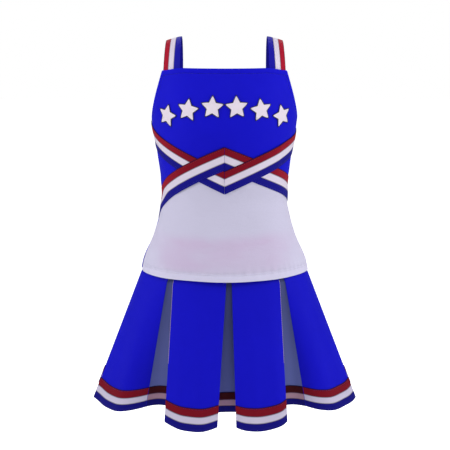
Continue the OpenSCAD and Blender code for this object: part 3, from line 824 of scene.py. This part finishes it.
def star_patches():
    """Six padded stars. Each has its back's outline, then seven rings inwards over its face, and
    then the middles of its face and its back."""
    k = np.arange(ARM_POINTS * 5)
    count = len(k)
    radius, direction = star_outline(k)
    inward = np.array([1, 0.97, 0.9, 0.75, 0.55, 0.3, 0.1])
    height = 0.5 * MM + 0.9 * MM * np.array([0.55, 0.85, 1, 1.05, 1.1, 1.12, 1.12])
    low = 0.35 * MM
    rows = [(1, low), *zip(inward, height)]
    copies = []
    for f in STAR_F:
        rings = [on_chest(f, STAR_R * radius * share, direction, off) for share, off in rows]
        middles = [on_chest(f, np.zeros(1), np.zeros(1), off) for off in (height[-1], low)]
        copies.append(np.concatenate(rings + middles))
    a = (np.arange(len(inward)) * count)[:, None]
    nxt = (k + 1) % count
    sides = np.stack([a + nxt, a + k, a + count + k, a + count + nxt], -1).reshape(-1, 4)
    pairs = k[::2]
    fan = np.stack([pairs, pairs + 1, (pairs + 2) % count], 1)
    last, top = len(inward) * count, len(rows) * count
    face = np.column_stack([last + fan[:, ::-1], np.full(len(fan), top)])
    back = np.column_stack([fan, np.full(len(fan), top + 1)])
    across = np.concatenate([radius * share for share, _ in rows] + [[0, 0]])
    angle = np.concatenate([direction] * len(rows) + [[0, 0]])
    uv = np.stack([STAR_R * across * np.sin(angle), STAR_R * across * np.cos(angle)], -1)
    patch = repeated("chest_stars", copies, np.concatenate([sides, face, back]), uv)
    settle(patch, star_satin, "top", ["chest_stars"])


def star_borders():
    """The cord of satin stitch round each star's edge."""
    k = np.arange(ARM_POINTS * 5)
    radius, direction = star_outline(k)
    around = np.radians(np.arange(0, 360, 45))
    copies = [np.stack([on_chest(f, STAR_R * radius + 0.75 * STAR_BORDER * math.cos(q), direction,
                                 0.95 * MM + 0.6 * STAR_BORDER * math.sin(q))
                        for q in around], 1).reshape(-1, 3) for f in STAR_F]
    grid = np.arange(len(k) * len(around)).reshape(len(k), len(around))
    side = np.roll(grid, -1, 0)
    faces = np.stack([grid, np.roll(grid, -1, 1), np.roll(side, -1, 1), side], -1).reshape(-1, 4)
    uv = np.stack([np.repeat(k * 1.2 * MM, len(around)), np.tile(around, len(k))], -1)
    edge = repeated("chest_star_borders", copies, faces, uv)
    settle(edge, star_border, "top")


# ---- Top: closures and stitching -----------------------------------------------------------

def zip_tape(side):
    name = sided("zip_tape", side)
    low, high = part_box(name)
    thick = 0.6 * MM
    across = steps(high.x - low.x, 1.4 * MM, thick)
    up = steps(high.z - low.z, 4 * MM, thick)
    x, z = np.meshgrid(high.x - across, low.z + up, indexing="ij")
    ripple = 0.12 * MM * np.sin(z * 420) * np.abs(x) / high.x
    mid = np.stack([x, (low.y + high.y) / 2 + ripple, z], -1)
    obj = sheet(name, mid, thick)
    settle(obj, tape_weave, "top", [name])


def on_torso(f, z, off):
    """A line on the top's outer face with its outward normals."""
    return line_on(lambda rise: torso(f, z, rise), off, off + MM)


def top_stitching():
    fine = np.linspace(-90 + SIDE_GAP_F, 90 - SIDE_GAP_F, 400)
    corners = (-89, -STRAP_EDGE_F, STRAP_EDGE_F, 89)
    edge_f = np.concatenate([np.linspace(a, b, n) for a, b, n in zip(corners, corners[1:], (60, 160, 60))])
    back_f = np.linspace(91, 180 - ZIP_GAP_F - 3, 150)
    edge = lambda f: upper_edge(f) - EDGE_LINE * edge_slope(f)
    lines = [on_torso(edge_f, edge(edge_f), -0.3 * MM)]
    for side in (1, -1):
        f = side * back_f
        lines.append(on_torso(f, edge(f), -0.3 * MM))
        lines.append(on_torso(side * np.linspace(91, 179, 200),
                              np.full(200, TOP_HEM_Z + HEM_LINES[1]), -0.3 * MM))
        z = np.linspace(ZIP_LOW_Z, upper_edge(side * 175.0) - 12 * MM, 120)
        lines.append(on_torso(side * beside_zip(np.full(120, 174.4), z), z, -0.25 * MM))
    settle(thread("stitching_top_blue", lines), royal_thread, "top")
    hem = [on_torso(fine, np.full(400, TOP_HEM_Z + line), -0.28 * MM) for line in HEM_LINES]
    settle(thread("stitching_top_hem", hem), white_thread, "top")


def ribbon_stitching():
    """A row along the red and the navy edge of each front ribbon, where another doesn't cover it."""
    red, blue = [], []
    for side in (1, -1):
        f = side * np.linspace(0.6, 89, 200)
        for line, over in ((vee, side > 0), (peak, side < 0)):
            off = 1.45 * MM + (1.25 * MM * crossing(f) if over else 0)
            shown = over | (crossing(f) < 0.02)
            for lines, share in ((red, 0.93), (blue, 0.07)):
                z = line(f) + lerp(-RIBBON_HALF_H, RIBBON_HALF_H, share)
                other = peak(f) if line is vee else vee(f)
                clear = shown | (np.abs(z - other) > RIBBON_HALF_H * 1.05)
                for part in np.split(np.arange(200), np.where(np.diff(clear.astype(int)) != 0)[0] + 1):
                    if clear[part[0]] and len(part) > 8:
                        lines.append(on_torso(f[part], z[part], (off + 0 * f)[part]))
    dark_red = satin_stitch("red_thread", shade(RED, 0.6))
    settle(thread("stitching_ribbon_red", red, radius=0.22 * MM), dark_red, "top")
    settle(thread("stitching_ribbon_blue", blue, radius=0.22 * MM), royal_thread, "top")


# ---- Skirt ---------------------------------------------------------------------------------

def turned(p, about):
    """A pleat mirrored about centre front, or moved to the back where about is 180."""
    return {"top": (about - p["top"][1], about - p["top"][0]),
            "hem": (about - p["hem"][1], about - p["hem"][0]),
            "roll": p["roll"][::-1], "lift": p["lift"], "sewn": p["sewn"][::-1]}


# Each pleat: angles of its edges at the top and the hem, the inward roll of each edge at the hem,
# its hem's height above the lowest, whether an underlay is sewn to each edge, and the share of its
# width at which its hem is lowest, where that isn't the middle.
FRONT_LEFT = {"top": (5.6, 39.1), "hem": (5.4, 27), "roll": (8 * MM, 10 * MM), "lift": 0,
              "sewn": (False, False), "lowest": 0.42}
FRONT_RIGHT = {"top": (-35.9, 0.2), "hem": (-25.6, -3.5), "roll": (10 * MM, 8 * MM), "lift": 0,
               "sewn": (False, False), "lowest": 0.58}
SIDE_LEFT = {"top": (44.6, 87), "hem": (41.8, 76), "roll": (34 * MM, -8 * MM), "lift": 17 * MM,
             "sewn": (True, False)}
SIDE_RIGHT = {"top": (-87, -41.7), "hem": (-76, -40), "roll": (-8 * MM, 34 * MM), "lift": 17 * MM,
              "sewn": (False, True)}
SIDE_BACK = {**turned(SIDE_LEFT, 180), "sewn": (True, True)}
REAR_LEFT = {"top": (140.9, 176.6), "hem": (153, 176.5), "roll": (10 * MM, 8 * MM), "lift": 0,
             "sewn": (False, False)}
PLEATS = {
    "front_left": FRONT_LEFT, "side_front_left": SIDE_LEFT,
    "side_back_left": SIDE_BACK, "rear_left": REAR_LEFT,
    "front_right": FRONT_RIGHT, "side_front_right": SIDE_RIGHT,
    "side_back_right": turned(SIDE_BACK, 0), "rear_right": turned(REAR_LEFT, 0),
}
HEM_BOW = 8 * MM    # how much higher a pleat's hem is at its edges than at its middle

# Each underlay: the pleat it is sewn to, angles of its sewn and loose edges at the top and the
# hem, their depths at the top, the depths of its sewn edge, middle and loose edge at the hem,
# and its hem's height above the lowest.
UNDERLAYS = {
    "centre_front": ("front_right", (-6, 27), (-10, 19), (3.5, 10), (30, 64, 60), 13),
    "front_left": ("side_front_left", (44.6, 21), (41.8, 9), (0.2, 5), (34, 54, 30), 23),
    "front_right": ("side_front_right", (-41.7, -21), (-40, -14), (0.2, 5), (34, 54, 30), 23),
    "side_left": ("side_back_left", (93, 60), (104, 49), (0.2, 5), (-8, 46, 46), 19),
    "side_right": ("side_back_right", (-93, -60), (-104, -49), (0.2, 5), (-8, 46, 46), 19),
    "rear_left": ("side_back_left", (135.4, 159), (138.2, 171), (0.2, 5), (34, 54, 30), 23),
    "rear_right": ("side_back_right", (-135.4, -159), (-138.2, -165), (0.2, 5), (34, 54, 30), 23),
    "centre_back": ("rear_right", (190, 153), (190, 161), (3.5, 10), (30, 64, 60), 13),
}
HANG = PLEAT_Z - HEM_Z         # length of a pleat's free part
HEAD = BAND_LOW_Z - PLEAT_Z    # height of its stitched head
PER_DEGREE = 3.1 * MM          # a pleat's width for each degree of its hem
FOLD_R = 1.3 * MM              # radius of a pressed fold
RETURN_W = 13 * MM             # how far the cloth runs back behind a pressed fold
UNDERLAY_W = 0.125             # an underlay's nominal width
UNDERLAY_TUCK_F = 0.4          # how far an underlay's sewn edge lies behind its pleat's edge


def hanging(top_f, hem_f, top_depth, hem_depth, hem_z, up, head_f, head_depth, sway):
    """Points of cloth that hangs from the waistband. up is the distance above the hem: the cloth
    is straight from its hem to the end of the pleats' stitching, and then lies flat to the band."""
    share = np.clip(up / HANG, 0, 1)
    a = skirt(hem_f, hem_z, -hem_depth)
    b = skirt(top_f, PLEAT_Z, -top_depth)
    hung = lerp(a, b, share[..., None])
    out = skirt(hem_f, hem_z, 0.001 - hem_depth) - a
    hung = hung + out * (sway / 0.001)[..., None]
    head = np.clip((up - HANG) / HEAD, 0, 1)
    z = lerp(PLEAT_Z, BAND_LOW_Z + 2 * MM, head)
    flat = skirt(lerp(top_f, head_f, head), z, -lerp(top_depth, head_depth, head))
    return np.where((up > HANG)[..., None], flat, hung)


def gap_middle(f):
    """Middle of the gap between pleats that lies nearest to angle f."""
    edges = np.sort(np.mod([e for p in PLEATS.values() for e in p["top"]], 360))
    starts = np.mod([p["top"][0] for p in PLEATS.values()], 360)
    before = edges[np.searchsorted(edges, starts) - 1]
    middles = starts - np.mod(starts - before, 360) / 2
    middles = np.concatenate([middles, middles + 360, middles - 360])
    return middles[np.argmin(np.abs(middles - f))]


def waist_edge(f):
    """Where a pleat's edge at angle f meets the waistband, half way to the middle of its gap."""
    return lerp(f, gap_middle(f), 0.5)


def pleat_width(p):
    return abs(p["hem"][1] - p["hem"][0]) * PER_DEGREE


def roll(p, share):
    """How far a pleat's hem curls in behind the skirt's outline."""
    wide = 0.4
    return (p["roll"][0] * np.maximum(0, 1 - share / wide) ** 2
            + p["roll"][1] * np.maximum(0, 1 - (1 - share) / wide) ** 2)


def pleat_surface(name, x, width, up, off):
    """Points on a pleat. x is the distance across it from its first edge; beyond either edge the
    cloth turns round the fold and runs back behind."""
    p = PLEATS[name]
    x, up = np.broadcast_arrays(x, up)
    past = np.maximum(np.maximum(-x, x - width), 0)
    first = x < width / 2
    turn = np.minimum(past / FOLD_R, math.pi)
    straight = np.maximum(past - math.pi * FOLD_R, 0)
    inward = straight - FOLD_R * np.sin(turn)
    behind = FOLD_R * (1 - np.cos(turn)) + 0.12 * straight
    share = np.clip(x, 0, width) / width
    share = share + np.where(first, 1, -1) * inward / width * (past > 0)
    top_f = lerp(*p["top"], share)
    hem_f = lerp(*p["hem"], share)
    head_f = lerp(*map(waist_edge, p["top"]), share)
    hem_z = HEM_Z + p["lift"] + 4 * HEM_BOW * (share - p.get("lowest", 0.5)) ** 2
    phase = sum(map(ord, name))
    loose = 1 - np.clip(up / HANG, 0, 1)
    calm = 1 - p["sewn"][0] * bell(share, 0.12) - p["sewn"][1] * bell(1 - share, 0.12)
    sway = calm * MM * loose ** 1.2 * (1.5 * np.sin(7.5 * share + phase)
                                       + 0.7 * np.sin(15 * share + 9 * up + phase))
    depth = roll(p, np.clip(share, 0, 1)) + behind - off
    return hanging(top_f, hem_f, behind - off, depth, hem_z, up, head_f, behind - off, sway)


def underlay_surface(name, share, up, off):
    """Points on an underlay, from its sewn edge at 0 to its loose edge at 1."""
    _, top, hem, top_depth, hem_depth, lift = UNDERLAYS[name]
    share, up = np.broadcast_arrays(share, up)
    along = share ** 1.2
    direction = np.sign(hem[1] - hem[0])
    top_f = lerp(top[0] - direction * UNDERLAY_TUCK_F, top[1], along)
    hem_f = lerp(hem[0] - direction * UNDERLAY_TUCK_F, hem[1], along)
    at_top = MM * lerp(top_depth[0] + 1.2, top_depth[1], swoop(share / 0.3))
    at_hem = MM * lerp(lerp(hem_depth[0] + 0.8, hem_depth[1], swoop(share / 0.4)), hem_depth[2],
                       ease((share - 0.45) / 0.4))
    hem_z = HEM_Z + MM * lerp(lift + 1, lift + 3, ease(share / 0.35))
    loose = 1 - np.clip(up / HANG, 0, 1)
    sway = MM * loose * (1 - bell(share, 0.12)) * np.sin(9 * share + len(name))
    at_band = MM * (1.6 + 0.32 * (top_depth[1] - 1))
    return hanging(top_f, hem_f, at_top - off, at_hem - off, hem_z, up, top_f, at_band - off, sway)


def hem_trim(name, surface, x, rests_on, material, body, node, order=slice(None)):
    """The ribbon round one hem. surface takes distances across and up and how far out to lie."""
    v = ribbon_rows(HEM_RIBBON_W, HEM_STRIPES)[None, :]
    grid = surface(v * HEM_RIBBON_W - 0.4 * MM, 0.3 * MM + RIBBON_T / 2)[order]
    uv = np.stack(np.broadcast_arrays(x[:, None], v), -1)[order]
    relief = stripe_relief(v, HEM_STRIPES) * np.ones_like(x)[:, None]
    settle(sheet(name, grid, RIBBON_T, relief, uv=uv), material, body, [node])


def pleat(name):
    p = PLEATS[name]
    body = "pleat_" + name
    width = pleat_width(p)
    behind = math.pi * FOLD_R + RETURN_W
    before, after = [0 if sewn else behind for sewn in p["sewn"]]
    x = steps(before + width + after, 3.4 * MM, CLOTH) - before
    near_edge = np.linspace(-4.4, 1.6, 9) * MM
    x = np.concatenate([x, near_edge, width - near_edge])
    x = np.unique(np.round(x[(x >= -before) & (x <= width + after)], 6))
    up = steps(HANG + HEAD, 4.5 * MM, CLOTH, seams=[HANG])
    grid = pleat_surface(name, x[:, None], width, up[None, :], -CLOTH / 2)
    cloth = sheet("panel_" + name, grid, CLOTH)
    head = "pleat_head_front" if abs(sum(p["top"])) / 2 < 90 else "pleat_head_back"
    settle(cloth, skirt_cloth, "skirt", ["panel_" + name, head], to_body=body)
    low = 1 * MM - before if before else 0
    high = width + (after - 1 * MM if after else 0)
    x = x[(x > low) & (x < high)]
    hem_trim("hem_ribbon_" + name, lambda up, off: pleat_surface(name, x[:, None], width, up, off), x,
             "panel_" + name, hem_ribbon, body, "hem_ribbon_" + name)


def underlay(name):
    owner, top = UNDERLAYS[name][:2]
    body = "pleat_" + owner
    share = steps(UNDERLAY_W, 3.4 * MM, CLOTH) / UNDERLAY_W
    up = steps(HANG + HEAD, 4.5 * MM, CLOTH, seams=[HANG])
    order = slice(None) if top[1] > top[0] else slice(None, None, -1)
    grid = underlay_surface(name, share[:, None], up[None, :], -0.6 * MM)[order]
    cloth = sheet("underlay_" + name, grid, 1.1 * MM)
    settle(cloth, slate_cloth, "skirt", ["underlay_" + name], to_body=body)
    inner = share[(share > 0.001) & (share < 0.996)]
    # The ribbon on the underlay's hem is the painted-shade copy of the hem ribbon.
    hem_trim("hem_ribbon_underlay_" + name,
             lambda up, off: underlay_surface(name, inner[:, None], up, off), inner * UNDERLAY_W,
             "underlay_" + name, shaded_recess_ribbon, body, "hem_ribbon_" + owner, order)


def waistband():
    """Cloth folded over the elastic and drawn up by it into fine upright ripples."""
    thick = 1.0 * MM
    depth = 5.2 * MM
    fold_z = BAND_TOP_Z - depth / 2
    f = np.arange(0, 360, 0.9)
    wall = steps(fold_z - BAND_LOW_Z, 3 * MM, thick)
    turn = np.linspace(0, math.pi, 9)[1:-1]
    r = (depth - thick) / 2
    off = np.concatenate([0 * wall, -r * (1 - np.cos(turn)), 0 * wall - 2 * r]) - thick / 2
    z = np.concatenate([BAND_LOW_Z + wall, fold_z + r * np.sin(turn), (BAND_LOW_Z + wall)[::-1]])
    ripple = 0.32 * MM * (np.sin(np.radians(90 * f)) + 0.6 * np.sin(np.radians(57 * f) + 1))[:, None]
    soft = np.sin(math.pi * np.clip((z - BAND_LOW_Z) / (BAND_TOP_Z - BAND_LOW_Z), 0, 1))[None, :]
    mid = skirt(f[:, None], z[None, :], off[None, :] - 0.35 * MM + ripple * soft)
    obj = sheet("waistband_casing", mid, thick, ring=True)
    settle(obj, skirt_cloth, "skirt", ["waistband_casing"])


def painted_edge_highlights():
    """A painted highlight: a fine pale line along the front pleats' outer pressed edges."""
    for name, end in (("front_left", 1), ("front_right", -1)):
        width = pleat_width(PLEATS[name])
        past = 1.1 * FOLD_R
        x = np.full(90, width + past if end > 0 else -past)
        up = np.linspace(0.42 * HANG, HANG + 10 * MM, 90)
        line = line_on(lambda rise: pleat_surface(name, x, width, up, rise), 0.1 * MM, 1.1 * MM)
        obj = thread("edge_highlight_" + name, [line], length=5 * MM, gap=-0.6 * MM, radius=0.5 * MM)
        settle(obj, highlight_thread, "skirt", to_body="pleat_" + name)


def skirt_stitching():
    lines = []
    f = np.linspace(0, 360, 900)
    for z in (BAND_LOW_Z + 4 * MM, BAND_TOP_Z - 7 * MM):
        lines.append(line_on(lambda rise: skirt(f, z, rise), -0.1 * MM))
    for p in PLEATS.values():
        for end, inward in ((0, 1), (1, -1)):
            z = np.linspace(PLEAT_Z + 1 * MM, BAND_LOW_Z, 40)
            head = (z - PLEAT_Z) / HEAD
            at = lerp(p["top"][end], waist_edge(p["top"][end]), head) + inward * 1.2
            lines.append(line_on(lambda rise: skirt(at, z, rise), 0.1 * MM))
    settle(thread("stitching_skirt", lines), royal_thread, "skirt")
    for name, p in PLEATS.items():
        width = pleat_width(p)
        x = np.linspace(2 * MM, width - 2 * MM, 60)
        lines = []
        for up in (HEM_RIBBON_W - 3 * MM, 3 * MM):
            lines.append(line_on(lambda rise: pleat_surface(name, x, width, np.full(60, up), rise),
                                 1.5 * MM, 2.5 * MM))
        settle(thread("stitching_hem_" + name, lines, radius=0.22 * MM), royal_thread,
               "pleat_" + name)


# ---- CAD pieces that stay ------------------------------------------------------------------

def carried_over():
    """The hard pieces and the hidden elastic keep their CAD shape and get finished materials."""
    finishes = ((nickel, ("zip_slider", "zip_pull", "zip_stops", "neck_hook", "neck_eye")),
                (tooth_plastic, ("zip_teeth_left", "zip_teeth_right")),
                (elastic_rib, ("waistband_elastic",)))
    for material, nodes in finishes:
        for node in nodes:
            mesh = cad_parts[node].data
            mesh.materials.clear()
            mesh.materials.append(material)


# ---- Stage ---------------------------------------------------------------------------------

def softbox(name, place, aim, size, power):
    data = bpy.data.lights.new(name, "AREA")
    data.shape = "RECTANGLE"
    data.size, data.size_y = size
    data.energy = power
    lamp = bpy.data.objects.new(name, data)
    lamp.location = place
    lamp.rotation_euler = (Vector(aim) - Vector(place)).to_track_quat("-Z", "Y").to_euler()
    bpy.context.scene.collection.objects.link(lamp)


FLOOR_Z = HEM_Z - 0.55
FLOOR_HALF_W = 12.0


def stage():
    """A pale floor, even light from all round and four softboxes. The floor and the surroundings
    are brighter to the camera than as light, so the backdrop reads white without washing out."""
    half = FLOOR_HALF_W
    corners = [(x, y, FLOOR_Z) for x, y in ((-half, -half), (half, -half), (half, half), (-half, half))]
    floor = new_object("floor", np.array(corners), np.array([[0, 1, 2, 3]]))
    paper = Shader("floor_paper", 0.9, 0.1)
    tone = paper.mix(paper.noise(2, 2), (0.93, 0.93, 0.93), (0.96, 0.96, 0.96))
    floor.data.materials.append(paper.finish(tone, paper.noise(300, 2), 0.05 * MM, 0.2, 0.9))
    paper.surface.inputs["Emission Color"].default_value = (1, 1, 1, 1)
    paper.put(paper.surface.inputs["Emission Strength"], paper.seen(0.0, 0.85))
    world = bpy.data.worlds.new("studio")
    bpy.context.scene.world = world
    world.use_nodes = True
    tree = world.node_tree
    background = tree.nodes["Background"]
    seen = tree.nodes.new("ShaderNodeLightPath")
    strength = tree.nodes.new("ShaderNodeMapRange")
    strength.inputs["To Min"].default_value = 0.31
    strength.inputs["To Max"].default_value = 1.0
    tree.links.new(seen.outputs["Is Camera Ray"], strength.inputs["Value"])
    tree.links.new(strength.outputs[0], background.inputs["Strength"])
    background.inputs["Color"].default_value = (1, 1, 1, 1)
    softbox("key", (0.3, -2.4, 2.2), (0, 0, 0), (2.2, 1.6), 36)
    for side in (1, -1):
        softbox(sided("side", side), (side * 2.3, -0.6, 0.9), (0, 0, 0), (1.2, 2.0), 27)
    softbox("back", (0, 2.4, 1.8), (0, 0, 0.1), (2.4, 1.4), 24)


def camera():
    eye, aim = Vector((0.0, -2.168, 0.482)), Vector((0.001, 0, 0.012))
    data = bpy.data.cameras.new("camera")
    data.lens = 86.6
    data.sensor_width = 36
    obj = bpy.data.objects.new("camera", data)
    obj.location = eye
    obj.rotation_euler = (aim - eye).to_track_quat("-Z", "Y").to_euler()
    bpy.context.scene.collection.objects.link(obj)
    bpy.context.scene.camera = obj
    bpy.context.scene.view_settings.view_transform = "Standard"


# ---- Assembly ------------------------------------------------------------------------------

camera()
stage()
bodice()
midriff()
for side in (1, -1):
    back_half(side)
facings()
front_ribbon("ribbon_peak_left", peak, 1, over=False)
front_ribbon("ribbon_vee_left", vee, 1, over=True)
front_ribbon("ribbon_vee_right", vee, -1, over=False)
front_ribbon("ribbon_peak_right", peak, -1, over=True)
for side in (1, -1):
    strap(side)
star_patches()
star_borders()
for side in (1, -1):
    zip_tape(side)
top_stitching()
ribbon_stitching()
for name in PLEATS:
    pleat(name)
for name in UNDERLAYS:
    underlay(name)
waistband()
painted_edge_highlights()
skirt_stitching()
carried_over()
